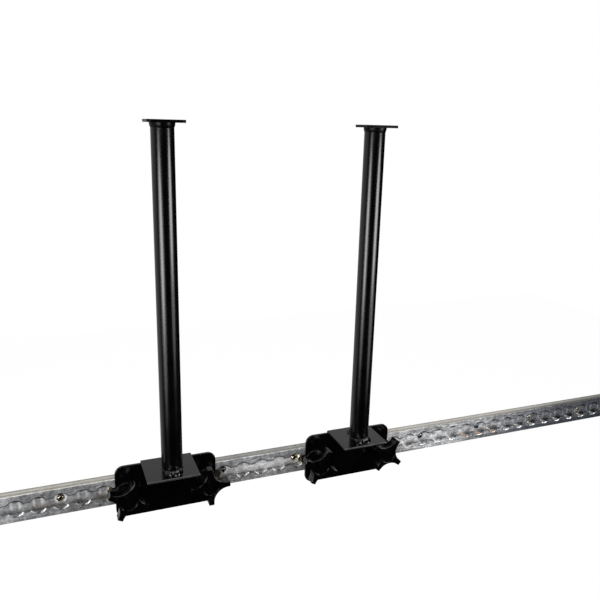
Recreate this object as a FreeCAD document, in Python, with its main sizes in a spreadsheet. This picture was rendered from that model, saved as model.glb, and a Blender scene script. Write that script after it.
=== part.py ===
import FreeCAD, Part
import Sketcher

import math
import os

# Boot rack: two upright boot posts clamped to a length of wall-mounted cargo track.
# Millimetres. X runs along the track, +Y into the wall, +Z up.
# The origin is the middle of the track's back face, where it lies on the wall.

doc = FreeCAD.newDocument("boot_rack")

# Driving sizes, one named cell each
SIZES = [
    ("hole_pitch", 25.4, "track: hole to hole"),
    ("hole_count", 48, "track: holes in the length"),
    ("rail_height", 34.925, "track: height of the section"),
    ("rail_depth", 12.7, "track: depth of the section from the wall"),
    ("rail_bevel", 0.8, "track: eased front edges"),
    ("track_hole_dia", 19.8, "track: round holes in the lips"),
    ("slot_width", 10.4, "track: slot between the lips"),
    ("channel_width", 20.3, "track: channel behind the lips"),
    ("lip_thickness", 2.6, "track: thickness of the lips"),
    ("floor_thickness", 3.4, "track: metal behind the channel"),
    ("screw_hole_count", 4, "track: holes from one wall screw to the next"),
    ("screw_hole_dia", 5.3, "wall screw: clearance hole in the floor"),
    ("screw_shank_dia", 4.8, "wall screw: shank"),
    ("screw_head_dia", 9.2, "wall screw: pan head"),
    ("screw_head_height", 2.3, "wall screw: pan head"),
    ("screw_head_edge", 1.0, "wall screw: straight edge of the head"),
    ("screw_head_flat", 3.4, "wall screw: flat on top of the head"),
    ("screw_length", 31.75, "wall screw: under the head"),
    ("screw_point", 6.0, "wall screw: cone of the point"),
    ("left_hole_count", 13, "left rack: holes to the left of its middle one"),
    ("right_hole_count", 23, "right rack: holes to the left of its middle one"),
    ("knob_hole_count", 4, "rack: track holes from one knob to the other"),
    ("sheet_thickness", 3.175, "rack: plate stock"),
    ("plate_margin", 12.7, "back plate: knob's axis to the end of the plate"),
    ("plate_height", 69.85, "back plate"),
    ("plate_corner", 11.0, "back plate: corner radius"),
    ("stud_hole_dia", 10.4, "back plate: clearance holes for the studs"),
    ("shelf_width", 63.5, "shelf plate"),
    ("shelf_depth", 57.15, "shelf plate: from the back plate's rear face"),
    ("shelf_corner", 1.6, "shelf plate: front corner radius"),
    ("post_setback", 30.0, "post: axis in front of the track's face"),
    ("post_dia", 25.4, "post tube: outside"),
    ("post_wall", 2.1, "post tube: wall"),
    ("post_height", 406.4, "post tube: cut length"),
    ("post_offset", 2.5, "post: axis to the right of the back plate's middle"),
    ("top_width", 41.275, "top plate: along the track"),
    ("top_depth", 38.1, "top plate: out from the track"),
    ("top_offset", 2.0, "top plate: middle to the right of the post's axis"),
    ("top_corner", 5.0, "top plate: corner radius"),
    ("foot_clearance", 0.6, "track stud: foot to track hole, all round"),
    ("foot_thickness", 3.0, "track stud: feet"),
    ("bridge_clearance", 0.3, "track stud: bridge to the slot's sides"),
    ("bridge_recess", 0.4, "track stud: bridge below the track's face"),
    ("stud_dia", 9.525, "track stud: threaded stud"),
    ("thread_pitch", 1.5875, "track stud: 16 threads per inch"),
    ("thread_turns", 8, "track stud: turns held by a tight knob"),
    ("washer_dia", 25.4, "washer: outside"),
    ("washer_thickness", 1.6, "washer"),
    ("washer_hole_dia", 11.1, "washer: hole"),
    ("hub_dia", 20.6, "knob: hub"),
    ("hub_length", 12.7, "knob: washer to the back of the arms"),
    ("arm_reach", 25.4, "knob: axis to the end of an arm"),
    ("arm_thickness", 12.7, "knob: arms, back to front"),
    ("scallop_offset", 31.5, "knob: axis to the centre of a hollow between arms"),
    ("scallop_radius", 19.3, "knob: radius of a hollow between arms"),
    ("arm_bevel", 1.2, "knob: eased front rims of the arms"),
    ("dish_dia", 20.8, "knob: round dish in the front"),
    ("dish_depth", 3.0, "knob: round dish in the front"),
    ("insert_flats", 12.7, "knob insert: across the flats of its hexagon"),
    ("insert_length", 14.2, "knob insert"),
    ("thread_clearance", 0.05, "knob insert: bore to stud, all round"),
    ("stud_room", 1.6, "knob: blind end behind the insert"),
    ("left_knob_1_angle", -26, "knob at rest: direction of an arm, degrees"),
    ("left_knob_2_angle", 2, "knob at rest: direction of an arm, degrees"),
    ("right_knob_1_angle", -28, "knob at rest: direction of an arm, degrees"),
    ("right_knob_2_angle", -38, "knob at rest: direction of an arm, degrees"),
]

sheet = doc.addObject("Spreadsheet::Sheet", "Sizes")
for row, (alias, number, meaning) in enumerate(SIZES, start=1):
    sheet.set(f"A{row}", alias)
    sheet.set(f"B{row}", str(number))
    sheet.setAlias(f"B{row}", alias)
    sheet.set(f"C{row}", meaning)
doc.recompute()

QUARTER_TURN = 90
FULL_TURN = 360
ARM_COUNT = 4
INSERT_SIDES = 6

# Sizes that follow from the driving ones, as expressions on the sheet
RAIL_LENGTH = "Sizes.hole_count * Sizes.hole_pitch"
FIRST_HOLE_X = "-(Sizes.hole_count - 1) * Sizes.hole_pitch / 2"
SCREW_COUNT = "floor((Sizes.hole_count - 1) / Sizes.screw_hole_count) + 1"
SCREW_SPACING = "Sizes.screw_hole_count * Sizes.hole_pitch"
RACK_X = {
    side: f"(Sizes.{side}_hole_count - (Sizes.hole_count - 1) / 2) * Sizes.hole_pitch"
    for side in ("left", "right")
}
POST_X = {side: f"{x} + Sizes.post_offset" for side, x in RACK_X.items()}
KNOB_X = {
    1: "-Sizes.knob_hole_count * Sizes.hole_pitch / 2",
    2: "Sizes.knob_hole_count * Sizes.hole_pitch / 2",
}
PLATE_WIDTH = "Sizes.knob_hole_count * Sizes.hole_pitch + 2 * Sizes.plate_margin"
PLATE_REAR_Y = "-Sizes.rail_depth"
PLATE_FRONT_Y = "-(Sizes.rail_depth + Sizes.sheet_thickness)"
WASHER_FRONT_Y = "-(Sizes.rail_depth + Sizes.sheet_thickness + Sizes.washer_thickness)"
POST_Y = "-(Sizes.rail_depth + Sizes.post_setback)"
SHELF_UNDER_Z = "Sizes.plate_height / 2"
SHELF_TOP_Z = "Sizes.plate_height / 2 + Sizes.sheet_thickness"
POST_TOP_Z = SHELF_TOP_Z + " + Sizes.post_height"
FOOT_DIA = "(Sizes.track_hole_dia - 2 * Sizes.foot_clearance)"
BRIDGE_WIDTH = "(Sizes.slot_width - 2 * Sizes.bridge_clearance)"
BRIDGE_LENGTH = f"Sizes.hole_pitch + {BRIDGE_WIDTH}"
STUD_LENGTH = (
    "Sizes.sheet_thickness + Sizes.washer_thickness + Sizes.thread_turns * Sizes.thread_pitch"
)
ARM_FRONT = "Sizes.hub_length + Sizes.arm_thickness"
INSERT_CORNERS = [
    (
        f"Sizes.insert_flats / 2 / cos(30 deg) * cos({angle} deg)",
        f"Sizes.insert_flats / 2 / cos(30 deg) * sin({angle} deg)",
    )
    for angle in range(0, FULL_TURN, FULL_TURN // INSERT_SIDES)
]

ACROSS_X = FreeCAD.Vector(1, 0, 0)
UP = FreeCAD.Vector(0, 0, 1)
SAME_PLACE = 1e-4
SCREW_SIDES = 10

# Turns a piece built up its own Z axis so that it points out of the wall, towards -Y
OUTWARD = FreeCAD.Rotation(ACROSS_X, QUARTER_TURN)

subparts = []


def size(expression):
    """The value of an expression on the sheet."""
    return float(sheet.evalExpression(expression))


def bind(thing, prop, expression):
    thing.setExpression(prop, expression)


def place(thing, x="0", y="0", z="0", rotation=None):
    """Bind a sub-part's place to the sheet, after turning it."""
    if rotation is not None:
        thing.Placement = FreeCAD.Placement(FreeCAD.Vector(), rotation)
    bind(thing, "Placement.Base.x", x)
    bind(thing, "Placement.Base.y", y)
    bind(thing, "Placement.Base.z", z)


def keep(thing, label):
    """Count a finished object as a sub-part under its own name."""
    thing.Label = label
    subparts.append(thing)
    return thing


def new_body(label):
    body = doc.addObject("PartDesign::Body", label)
    return keep(body, label)


def origin_feature(body, role):
    return next(f for f in body.Origin.OriginFeatures if f.Role == role)


def new_sketch(body, name, plane="XY_Plane", height="0"):
    """A sketch on one of the body's own planes, raised along that plane's normal."""
    sketch = body.newObject("Sketcher::SketchObject", f"{body.Name}_{name}")
    sketch.AttachmentSupport = [(origin_feature(body, plane), "")]
    sketch.MapMode = "FlatFace"
    bind(sketch, "AttachmentOffset.Base.z", height)
    return sketch


def pin_point(sketch, geometry, corner, across, up):
    """Hold one point of a sketch at a distance from the origin given by two expressions."""
    for kind, axis, expression in (("DistanceX", -2, across), ("DistanceY", -1, up)):
        number = size(expression)
        if abs(number) < SAME_PLACE:
            sketch.addConstraint(Sketcher.Constraint("PointOnObject", geometry, corner, axis))
        else:
            index = sketch.addConstraint(
                Sketcher.Constraint(kind, -1, 1, geometry, corner, number)
            )
            bind(sketch, f"Constraints[{index}]", expression)


def draw_outline(sketch, corners):
    """A closed outline of straight edges through corners given as pairs of expressions."""
    points = [FreeCAD.Vector(size(across), size(up), 0) for across, up in corners]
    count = len(points)
    for i, point in enumerate(points):
        sketch.addGeometry(Part.LineSegment(point, points[(i + 1) % count]))
    for i in range(count):
        sketch.addConstraint(Sketcher.Constraint("Coincident", i, 2, (i + 1) % count, 1))
    for i, (across, up) in enumerate(corners):
        pin_point(sketch, i, 1, across, up)


def draw_circle(sketch, across, up, diameter):
    centre = FreeCAD.Vector(size(across), size(up), 0)
    circle = Part.Circle(centre, UP, size(diameter) / 2)
    geometry = sketch.addGeometry(circle)
    # A circle's point 3 is its centre
    pin_point(sketch, geometry, 3, across, up)
    index = sketch.addConstraint(Sketcher.Constraint("Diameter", geometry, size(diameter)))
    bind(sketch, f"Constraints[{index}]", diameter)


def draw_rectangle(sketch, width, low, high):
    """A rectangle centred on the upright axis, from one height to another."""
    half = f"({width}) / 2"
    draw_outline(
        sketch,
        [(f"-{half}", low), (half, low), (half, high), (f"-{half}", high)],
    )


def pad(body, sketch, length):
    feature = body.newObject("PartDesign::Pad", f"{sketch.Name}_pad")
    feature.Profile = sketch
    bind(feature, "Length", length)
    doc.recompute()
    return feature


def pocket(body, sketch, length, upwards=False):
    """Cut a sketch down into the body, or upwards, and make sure that it removes material."""
    before = body.Shape.Volume
    feature = body.newObject("PartDesign::Pocket", f"{sketch.Name}_cut")
    feature.Profile = sketch
    feature.Reversed = upwards
    bind(feature, "Length", length)
    doc.recompute()
    if not body.Shape.Volume < before:
        raise RuntimeError(f"{feature.Name} cuts nothing")
    return feature


def repeat_along(body, feature, count, length):
    """Repeat a feature along X, from the place where it is drawn."""
    pattern = body.newObject("PartDesign::LinearPattern", f"{feature.Name}_row")
    pattern.Originals = [feature]
    pattern.Direction = (origin_feature(body, "X_Axis"), [""])
    bind(pattern, "Length", length)
    bind(pattern, "Occurrences", count)
    body.Tip = pattern
    doc.recompute()
    return pattern


def repeat_round(body, feature, count):
    pattern = body.newObject("PartDesign::PolarPattern", f"{feature.Name}_ring")
    pattern.Originals = [feature]
    pattern.Axis = (origin_feature(body, "Z_Axis"), [""])
    pattern.Angle = FULL_TURN
    pattern.Occurrences = count
    body.Tip = pattern
    doc.recompute()
    return pattern


def dress(body, kind, edges, prop, expression):
    """Round or bevel the named edges of the body as it stands."""
    base = body.Tip
    feature = body.newObject(f"PartDesign::{kind}", f"{base.Name}_{kind.lower()}")
    feature.Base = (base, edges)
    bind(feature, prop, expression)
    doc.recompute()
    return feature


def edge_names(shape, wanted):
    return [f"Edge{i}" for i, edge in enumerate(shape.Edges, start=1) if wanted(edge)]


def edge_direction(edge):
    """The size of an edge's box along X, Y and Z."""
    box = edge.BoundBox
    return box.XLength, box.YLength, box.ZLength


def is_upright(edge):
    """True for an edge that runs along Z alone."""
    x, y, z = edge_direction(edge)
    return x < SAME_PLACE and y < SAME_PLACE and z > SAME_PLACE


def runs_through(edge):
    """True for an edge that runs along Y alone."""
    x, y, z = edge_direction(edge)
    return x < SAME_PLACE and z < SAME_PLACE and y > SAME_PLACE


def lies_at(edge, height):
    """True for an edge that lies flat at a height."""
    box = edge.BoundBox
    return abs(box.ZMin - height) < SAME_PLACE and abs(box.ZMax - height) < SAME_PLACE


# Track


def make_rail():
    """Extruded track: a T slot whose lips are opened by a row of round holes."""
    body = new_body("rail")
    profile = new_sketch(body, "profile", "YZ_Plane", f"-({RAIL_LENGTH}) / 2")
    half_height = "Sizes.rail_height / 2"
    face = "-Sizes.rail_depth"
    shoulder = "-(Sizes.rail_depth - Sizes.rail_bevel)"
    under_lip = "-(Sizes.rail_depth - Sizes.lip_thickness)"
    channel_floor = "-Sizes.floor_thickness"
    lower_half = [
        ("0", f"-{half_height}"),
        (shoulder, f"-{half_height}"),
        (face, f"-({half_height} - Sizes.rail_bevel)"),
        (face, "-Sizes.slot_width / 2"),
        (under_lip, "-Sizes.slot_width / 2"),
        (under_lip, "-Sizes.channel_width / 2"),
        (channel_floor, "-Sizes.channel_width / 2"),
    ]
    upper_half = [(across, up[1:]) for across, up in reversed(lower_half)]
    draw_outline(profile, lower_half + upper_half)
    pad(body, profile, RAIL_LENGTH)

    holes = new_sketch(body, "hole", "XZ_Plane", "Sizes.rail_depth")
    draw_circle(holes, FIRST_HOLE_X, "0", "Sizes.track_hole_dia")
    hole = pocket(body, holes, "Sizes.lip_thickness")
    repeat_along(body, hole, "Sizes.hole_count", "(Sizes.hole_count - 1) * Sizes.hole_pitch")

    screw_holes = new_sketch(body, "screw_hole", "XZ_Plane", "Sizes.floor_thickness")
    draw_circle(screw_holes, FIRST_HOLE_X, "0", "Sizes.screw_hole_dia")
    screw_hole = pocket(body, screw_holes, "Sizes.floor_thickness")
    repeat_along(body, screw_hole, SCREW_COUNT, f"({SCREW_COUNT} - 1) * {SCREW_SPACING}")


def faceted_turning(levels, sides):
    """A solid of flat faces from a point up through level rings of corners.

    The levels are pairs of radius and height, and the first has no radius.
    """
    step = 2 * math.pi / sides
    tip = FreeCAD.Vector(0, 0, levels[0][1])
    rings = [
        [
            FreeCAD.Vector(radius * math.cos(i * step), radius * math.sin(i * step), height)
            for i in range(sides)
        ]
        for radius, height in levels[1:]
    ]
    outlines = [rings[-1]]
    for i in range(sides):
        j = (i + 1) % sides
        outlines.append([tip, rings[0][i], rings[0][j]])
        for lower, upper in zip(rings, rings[1:]):
            outlines.append([lower[i], lower[j], upper[j], upper[i]])
    faces = [Part.Face(Part.makePolygon(outline + outline[:1])) for outline in outlines]
    return Part.Solid(Part.Shell(faces)).removeSplitter()


def make_rail_screws():
    """Pan-head wall screws, one in every fourth hole of the track's floor."""
    shank_radius = size("Sizes.screw_shank_dia / 2")
    head_radius = size("Sizes.screw_head_dia / 2")
    length = size("Sizes.screw_length")
    screw = faceted_turning(
        [
            (0, -length),
            (shank_radius, size("Sizes.screw_point") - length),
            (shank_radius, 0),
            (head_radius, 0),
            (head_radius, size("Sizes.screw_head_edge")),
            (size("Sizes.screw_head_flat / 2"), size("Sizes.screw_head_height")),
        ],
        SCREW_SIDES,
    )

    screws = []
    for i in range(int(size(SCREW_COUNT))):
        hole_x = size(FIRST_HOLE_X) + i * size(SCREW_SPACING)
        copy = screw.copy()
        copy.Placement = FreeCAD.Placement(FreeCAD.Vector(hole_x, 0, 0), OUTWARD)
        screws.append(copy)
    group = doc.addObject("Part::Feature", "rail_screws")
    group.Shape = Part.makeCompound(screws)
    place(group, y="-Sizes.floor_thickness")
    keep(group, "rail_screws")


# Rack: welded plates and post


def make_back_plate(side):
    """Plate that lies on the track's face, with a hole over each stud."""
    body = new_body(f"{side}_back_plate")
    outline = new_sketch(body, "outline", "XZ_Plane")
    draw_rectangle(outline, PLATE_WIDTH, "-Sizes.plate_height / 2", "Sizes.plate_height / 2")
    plate = pad(body, outline, "Sizes.sheet_thickness")
    corners = edge_names(plate.Shape, runs_through)
    dress(body, "Fillet", corners, "Radius", "Sizes.plate_corner")
    holes = new_sketch(body, "stud_holes", "XZ_Plane", "Sizes.sheet_thickness")
    for x in KNOB_X.values():
        draw_circle(holes, x, "0", "Sizes.stud_hole_dia")
    pocket(body, holes, "Sizes.sheet_thickness")
    place(body, x=RACK_X[side], y=PLATE_REAR_Y)


def make_shelf_plate(side):
    """Plate that stands on the back plate's top edge and carries the post."""
    body = new_body(f"{side}_shelf_plate")
    outline = new_sketch(body, "outline")
    draw_rectangle(outline, "Sizes.shelf_width", "-Sizes.shelf_depth", "0")
    plate = pad(body, outline, "Sizes.sheet_thickness")
    front = -size("Sizes.shelf_depth")
    corners = edge_names(
        plate.Shape,
        lambda edge: is_upright(edge) and abs(edge.BoundBox.YMin - front) < SAME_PLACE,
    )
    dress(body, "Fillet", corners, "Radius", "Sizes.shelf_corner")
    place(body, x=RACK_X[side], y=PLATE_REAR_Y, z=SHELF_UNDER_Z)


def make_top_plate(side):
    """Small plate on top of the post, under the sole of the boot."""
    body = new_body(f"{side}_top_plate")
    outline = new_sketch(body, "outline")
    draw_rectangle(outline, "Sizes.top_width", "-Sizes.top_depth / 2", "Sizes.top_depth / 2")
    plate = pad(body, outline, "Sizes.sheet_thickness")
    corners = edge_names(plate.Shape, is_upright)
    dress(body, "Fillet", corners, "Radius", "Sizes.top_corner")
    place(body, x=f"{POST_X[side]} + Sizes.top_offset", y=POST_Y, z=POST_TOP_Z)


def make_tube(label, outer, bore, length):
    """A plain ring or tube up its own Z axis."""
    cylinders = []
    for name, diameter in (("outer", outer), ("bore", bore)):
        cylinder = doc.addObject("Part::Cylinder", f"{label}_{name}")
        bind(cylinder, "Radius", f"({diameter}) / 2")
        bind(cylinder, "Height", length)
        cylinders.append(cylinder)
    tube = doc.addObject("Part::Cut", label)
    tube.Base, tube.Tool = cylinders
    return keep(tube, label)


def make_post_tube(side):
    tube = make_tube(
        f"{side}_post_tube",
        "Sizes.post_dia",
        "Sizes.post_dia - 2 * Sizes.post_wall",
        "Sizes.post_height",
    )
    place(tube, x=POST_X[side], y=POST_Y, z=SHELF_TOP_Z)


# Clamps: a double-foot track stud, washer and four-arm knob at each end of the plate


def make_track_stud(side, number):
    """Two round feet under the lips, joined by a bridge in the slot that carries the stud."""
    body = new_body(f"{side}_track_stud_{number}")
    foot_back = "-(Sizes.lip_thickness + Sizes.foot_thickness)"

    bridge = new_sketch(body, "bridge", height=foot_back)
    draw_rectangle(bridge, BRIDGE_LENGTH, f"-{BRIDGE_WIDTH} / 2", f"{BRIDGE_WIDTH} / 2")
    pad(body, bridge, "Sizes.lip_thickness + Sizes.foot_thickness - Sizes.bridge_recess")

    feet = new_sketch(body, "feet", height=foot_back)
    for x in ("-Sizes.hole_pitch / 2", "Sizes.hole_pitch / 2"):
        draw_circle(feet, x, "0", FOOT_DIA)
    pad(body, feet, "Sizes.foot_thickness")

    stud = new_sketch(body, "stud", height="-Sizes.bridge_recess")
    draw_circle(stud, "0", "0", "Sizes.stud_dia")
    pad(body, stud, f"{STUD_LENGTH} + Sizes.bridge_recess")
    place(body, x=f"{RACK_X[side]} + {KNOB_X[number]}", y=PLATE_REAR_Y, rotation=OUTWARD)


def make_washer(side, number):
    washer = make_tube(
        f"{side}_washer_{number}",
        "Sizes.washer_dia",
        "Sizes.washer_hole_dia",
        "Sizes.washer_thickness",
    )
    place(
        washer,
        x=f"{RACK_X[side]} + {KNOB_X[number]}",
        y=PLATE_FRONT_Y,
        rotation=OUTWARD,
    )


def make_knob(side, number):
    """Moulded knob: a disc hollowed into four arms, on a round hub, with a dished front."""
    body = new_body(f"{side}_knob_{number}")
    disc = new_sketch(body, "disc", height="Sizes.hub_length")
    draw_circle(disc, "0", "0", "2 * Sizes.arm_reach")
    pad(body, disc, "Sizes.arm_thickness")
    hollow = new_sketch(body, "hollow", height=ARM_FRONT)
    diagonal = "Sizes.scallop_offset * sin(45 deg)"
    draw_circle(hollow, diagonal, diagonal, "2 * Sizes.scallop_radius")
    cut = pocket(body, hollow, "Sizes.arm_thickness")
    arms = repeat_round(body, cut, ARM_COUNT)
    front = size(ARM_FRONT)
    rims = edge_names(arms.Shape, lambda edge: lies_at(edge, front))
    dress(body, "Chamfer", rims, "Size", "Sizes.arm_bevel")

    dish = new_sketch(body, "dish", height=ARM_FRONT)
    draw_circle(dish, "0", "0", "Sizes.dish_dia")
    pocket(body, dish, "Sizes.dish_depth")

    hub = new_sketch(body, "hub")
    draw_circle(hub, "0", "0", "Sizes.hub_dia")
    pad(body, hub, "Sizes.hub_length")

    # The pocket for the insert opens at the back, where the hub meets the washer
    seat = new_sketch(body, "insert_pocket")
    draw_outline(seat, INSERT_CORNERS)
    pocket(body, seat, "Sizes.insert_length + Sizes.stud_room", upwards=True)
    place_on_stud(body, side, number)


def make_knob_insert(side, number):
    """Threaded hexagonal insert moulded into the knob's hub."""
    body = new_body(f"{side}_knob_insert_{number}")
    outline = new_sketch(body, "hexagon")
    draw_outline(outline, INSERT_CORNERS)
    pad(body, outline, "Sizes.insert_length")
    thread = new_sketch(body, "thread", height="Sizes.insert_length")
    draw_circle(thread, "0", "0", "Sizes.stud_dia + 2 * Sizes.thread_clearance")
    pocket(body, thread, "Sizes.insert_length")
    place_on_stud(body, side, number)


def place_on_stud(thing, side, number):
    """Seat a piece of the knob on the washer, turned to the knob's angle at rest."""
    angle = size(f"Sizes.{side}_knob_{number}_angle")
    place(
        thing,
        x=f"{RACK_X[side]} + {KNOB_X[number]}",
        y=WASHER_FRONT_Y,
        rotation=OUTWARD * FreeCAD.Rotation(UP, angle),
    )


# Assembly

make_rail()
make_rail_screws()
for side in ("left", "right"):
    make_back_plate(side)
    make_shelf_plate(side)
    make_post_tube(side)
    make_top_plate(side)
    for number in (1, 2):
        make_track_stud(side, number)
        make_washer(side, number)
        make_knob(side, number)
        make_knob_insert(side, number)
doc.recompute()

# Checks before writing

for thing in doc.Objects:
    if "Invalid" in thing.State or "Error" in thing.State:
        raise RuntimeError(f"{thing.Name} failed: {thing.State}")
for thing in subparts:
    if thing.Shape.isNull() or not thing.Shape.isValid():
        raise RuntimeError(f"{thing.Label} has no valid shape")

os.makedirs("parts", exist_ok=True)
for thing in subparts:
    thing.Shape.exportStep(f"parts/{thing.Label}.step")
    box = thing.Shape.BoundBox
    print(
        f"{thing.Label}: {len(thing.Shape.Solids)} solids,"
        f" x {box.XMin:.2f} {box.XMax:.2f}, y {box.YMin:.2f} {box.YMax:.2f},"
        f" z {box.ZMin:.2f} {box.ZMax:.2f}, {thing.Shape.Volume:.0f} mm3"
    )
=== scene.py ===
import math

import bmesh
import bpy
from mathutils import Matrix, Vector, noise


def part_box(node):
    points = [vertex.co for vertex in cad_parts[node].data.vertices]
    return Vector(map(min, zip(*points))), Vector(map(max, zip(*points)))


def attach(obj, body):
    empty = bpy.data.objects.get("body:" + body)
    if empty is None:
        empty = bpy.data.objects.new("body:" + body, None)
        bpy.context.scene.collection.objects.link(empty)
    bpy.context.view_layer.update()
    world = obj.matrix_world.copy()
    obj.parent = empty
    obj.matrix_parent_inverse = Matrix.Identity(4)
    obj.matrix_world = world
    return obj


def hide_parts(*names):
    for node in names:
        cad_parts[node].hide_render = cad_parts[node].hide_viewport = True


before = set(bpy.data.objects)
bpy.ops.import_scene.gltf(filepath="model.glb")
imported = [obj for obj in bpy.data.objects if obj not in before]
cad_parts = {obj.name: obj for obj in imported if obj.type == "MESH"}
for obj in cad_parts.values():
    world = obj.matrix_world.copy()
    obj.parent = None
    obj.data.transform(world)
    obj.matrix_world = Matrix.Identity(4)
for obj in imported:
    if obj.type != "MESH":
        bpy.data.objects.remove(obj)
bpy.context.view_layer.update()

# Boot rack: the looks of its track, clamps and posts, built round the fixed frame, in metres

MM = 0.001
INCH = 0.0254
TURN = 2 * math.pi
QUARTER = TURN / 4
SIDES = ("left", "right")
NUMBERS = (1, 2)

# Turns a piece built up its own Z axis so that it points out of the wall, towards -Y
OUTWARD = Matrix.Rotation(QUARTER, 4, "X")


# The photograph's camera

PHOTO_WIDTH = 600
FOCAL_PIXELS = 647.7
SENSOR_WIDTH = 36.0
CAMERA_PLACE = Vector((-0.3902, -0.7569, 0.4456))
CAMERA_YAW = 0.384
CAMERA_PITCH = -0.264
CAMERA_ROLL = 0.026


def make_camera():
    """A camera at the photograph's viewpoint, looking right and slightly down along the track."""
    data = bpy.data.cameras.new("photo_camera")
    data.sensor_width = SENSOR_WIDTH
    data.lens = FOCAL_PIXELS / PHOTO_WIDTH * SENSOR_WIDTH
    camera = bpy.data.objects.new("photo_camera", data)
    bpy.context.scene.collection.objects.link(camera)
    ahead = Matrix.Rotation(QUARTER + CAMERA_PITCH, 4, "X")
    turned = Matrix.Rotation(-CAMERA_YAW, 4, "Z") @ ahead @ Matrix.Rotation(CAMERA_ROLL, 4, "Z")
    camera.matrix_world = Matrix.Translation(CAMERA_PLACE) @ turned
    bpy.context.scene.camera = camera


# Studio: a pale floor far below the track, a white surround behind it and a dim room in front

FLOOR_SIZE = 7.0
FLOOR_HEIGHT = -0.9
FLOOR_GLOW = 0.97
FLOOR_SHADOW_ALBEDO = 0.12
FLOOR_ALBEDO = 0.8
ROOM_LIGHT = 0.14

# In mirrored rays the surround is a backdrop behind the track, bright up to a slanted edge
BACKDROP_EDGE = Vector((-0.55, 0.45, 0.70))
BACKDROP_FADE = 0.25
BACKDROP_SIDE = 0.35
BACKDROP_LIGHT = 0.56
FRONT_GLOSS = 0.005


class Graph:
    """Short calls for wiring the nodes of a material or the world."""

    def __init__(self, tree):
        self.tree = tree

    def node(self, kind, settings=None, **inputs):
        """A node of one kind, with its inputs by name or by number as i0, i1 and so on."""
        made = self.tree.nodes.new("ShaderNode" + kind)
        for key, value in (settings or {}).items():
            setattr(made, key, value)
        for key, value in inputs.items():
            by_number = key[0] == "i" and key[1:].isdigit()
            socket = made.inputs[int(key[1:]) if by_number else key.replace("_", " ")]
            self.feed(socket, value)
        return made

    def feed(self, socket, value):
        if isinstance(value, bpy.types.NodeSocket):
            self.tree.links.new(value, socket)
        else:
            socket.default_value = value

    def math(self, operation, first, second=0.0):
        return self.node("Math", {"operation": operation}, i0=first, i1=second).outputs[0]

    def vector(self, operation, first, second=(0.0, 0.0, 0.0), output=0):
        made = self.node("VectorMath", {"operation": operation}, i0=first, i1=second)
        return made.outputs[output]

    def rise(self, value, low, high, start=0.0, end=1.0):
        """A smooth step from start to end as the value goes from low to high."""
        settings = {"interpolation_type": "SMOOTHSTEP"}
        made = self.node("MapRange", settings, i0=value, i1=low, i2=high, i3=start, i4=end)
        return made.outputs[0]

    def near(self, value, centre, core, reach):
        """1 within a core distance of a centre, falling to 0 at a reach."""
        gap = self.math("ABSOLUTE", self.math("SUBTRACT", value, centre))
        return self.rise(gap, reach, core)

    def times(self, first, *others):
        """The product of two or more values."""
        for other in others:
            first = self.math("MULTIPLY", first, other)
        return first

    def without(self, value):
        """What a share leaves of 1."""
        return self.math("SUBTRACT", 1.0, value)

    def squares(self, first, second):
        """The sum of two squares."""
        return self.math("ADD", self.math("POWER", first, 2.0), self.math("POWER", second, 2.0))

    def between(self, share, first, second):
        """A value between two others."""
        return self.node("Mix", {"data_type": "FLOAT"}, i0=share, i2=first, i3=second).outputs[0]

    def mix(self, share, first, second):
        """A colour between two others."""
        made = self.node("Mix", {"data_type": "RGBA"}, i0=share, i6=first, i7=second)
        return made.outputs[2]

    def over(self, base, colour, *shares):
        """A colour laid over a base as far as the product of its shares."""
        return self.mix(self.times(*shares), base, colour)

    def place(self):
        """The point in the piece's own coordinates, in metres, as a vector and as x, y and z."""
        point = self.node("TexCoord").outputs["Object"]
        parts = self.node("SeparateXYZ", i0=point).outputs
        return point, parts[0], parts[1], parts[2]

    def stretched(self, point, scale, turn=(0.0, 0.0, 0.0), shift=(0.0, 0.0, 0.0)):
        """The point scaled by three numbers after a turn, for a pattern drawn out one way."""
        made = self.node("Mapping", Vector=point, Location=shift, Rotation=turn, Scale=scale)
        return made.outputs[0]

    def speckle(self, point, scale, detail=2.0, roughness=0.5):
        """Smooth noise from about 0.25 to 0.75."""
        settings = {"Scale": scale, "Detail": detail, "Roughness": roughness}
        return self.node("TexNoise", Vector=point, **settings).outputs[0]

    def bump(self, height, distance, under=None):
        made = self.node("Bump", Height=height, Distance=distance, Strength=1.0)
        if under is not None:
            self.feed(made.inputs["Normal"], under)
        return made.outputs[0]


def grey(level, warmth=0.0):
    """An opaque grey, warmer or cooler by a small share."""
    return (level * (1 + warmth), level, level * (1 - warmth), 1.0)


def ray_kinds(graph):
    """Whether a ray comes from the camera, and whether it was mirrored or let through."""
    path = graph.node("LightPath").outputs
    mirrored = graph.math("MAXIMUM", path["Is Glossy Ray"], path["Is Transmission Ray"])
    return path["Is Camera Ray"], mirrored


def mirrored_light(graph, direction):
    """How bright the surround is for a mirrored ray that leaves in a direction."""
    past_edge = graph.vector("DOT_PRODUCT", direction, BACKDROP_EDGE, "Value")
    inside = graph.rise(past_edge, 0.0, BACKDROP_FADE)
    depth = graph.node("SeparateXYZ", i0=direction).outputs[1]
    behind = graph.rise(depth, -BACKDROP_SIDE, BACKDROP_SIDE)
    lit = graph.math("MULTIPLY", inside, behind)
    return graph.rise(lit, 0.0, 1.0, FRONT_GLOSS, BACKDROP_LIGHT)


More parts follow.
